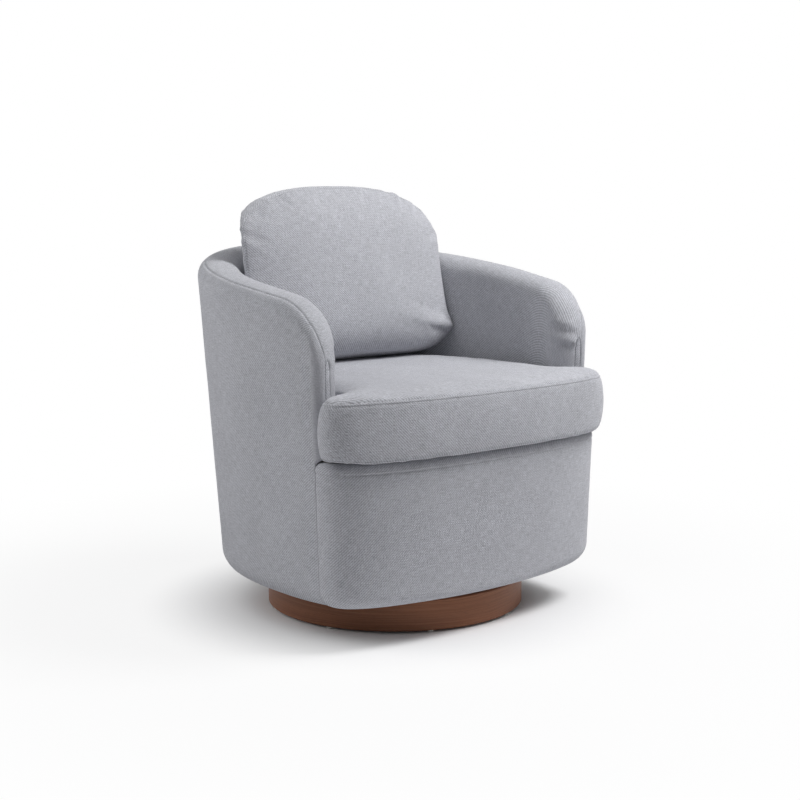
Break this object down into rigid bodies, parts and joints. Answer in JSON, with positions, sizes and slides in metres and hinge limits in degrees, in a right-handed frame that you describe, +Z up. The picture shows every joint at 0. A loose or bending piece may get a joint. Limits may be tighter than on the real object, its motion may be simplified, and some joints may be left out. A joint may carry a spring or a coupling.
{
  "type": "swivel barrel chair",
  "caption": "Round-backed upholstered armchair with low sloping arms, a loose T-shaped seat cushion and a loose arched back cushion, turning on a low wooden drum.",
  "frame": {"origin": "on the floor, on the swivel axis, which is also the drum's axis", "axes": "+Z up, the sitter faces -Y, +X is the sitter's left"},
  "size_m": [0.7368, 0.6864, 0.8104],
  "materials": {
    "cover_cloth": "light grey woven upholstery cloth, fine diagonal weave",
    "walnut": "reddish brown walnut veneer, satin lacquer",
    "plywood": "plain plywood",
    "pine": "planed softwood",
    "hardboard": "bare hardboard",
    "zinc": "zinc-plated steel",
    "ring_steel": "black powder coat",
    "ball_steel": "polished bearing steel",
    "spring_steel": "oiled spring wire",
    "nylon": "natural nylon",
    "felt": "needled fibre felt",
    "wadding": "white polyester wadding",
    "foam": "cut polyurethane foam",
    "fibre": "polyester fibre filling",
    "lining_cloth": "black non-woven lining"
  },
  "bodies": {
    "base": {"plinth_hoop": "walnut", "plinth_board": "plywood", "plinth_blocks": "pine", "plinth_screws": "zinc", "glides": "nylon", "swivel_outer_ring": "ring_steel", "outer_ring_screws": "zinc"},
    "cage": {"ball_cage": "nylon", "bearing_balls": "ball_steel"},
    "seat": {"swivel_inner_ring": "ring_steel", "inner_ring_screws": "zinc", "seat_board": "plywood", "front_posts": "pine", "side_posts": "pine", "back_posts": "pine", "seat_rail": "plywood", "front_rail": "plywood", "apron_studs": "pine", "top_rail": "plywood", "outer_panel": "hardboard", "inner_panel": "hardboard", "apron_panel": "hardboard", "spring_clips": "zinc", "seat_springs": "spring_steel", "deck_pad": "felt", "deck_cloth": "lining_cloth", "barrel_foam": "foam", "barrel_wadding": "wadding", "arm_front_pads": "foam", "apron_foam": "foam", "barrel_cover": "cover_cloth", "apron_cover": "cover_cloth", "arm_facing_left": "cover_cloth", "arm_facing_right": "cover_cloth", "dust_cover": "lining_cloth"},
    "seat_cushion": {"seat_cushion_cover": "cover_cloth", "seat_cushion_base_cloth": "cover_cloth", "seat_cushion_core": "foam"},
    "back_cushion": {"back_cushion_front": "cover_cloth", "back_cushion_rear": "cover_cloth", "back_cushion_filling": "fibre"}
  },
  "joints": [
    {"name": "seat_swivel", "type": "hinge", "parent": "base", "child": "seat", "pos_m": [0, 0, 0.0681], "axis": [0, 0, 1], "continuous": true},
    {"name": "cage_roll", "type": "hinge", "parent": "base", "child": "cage", "pos_m": [0, 0, 0.0681], "axis": [0, 0, 1], "continuous": true},
    {"name": "seat_cushion_out", "type": "slide", "parent": "seat", "child": "seat_cushion", "axis": [0, -1, 0], "range_m": [0, 0.3]},
    {"name": "back_cushion_lift", "type": "slide", "parent": "seat", "child": "back_cushion", "axis": [0, 0, 1], "range_m": [0, 0.35]}
  ],
  "couplings": [
    {"joint": "cage_roll", "follows": "seat_swivel", "ratio": 0.5}
  ]
}
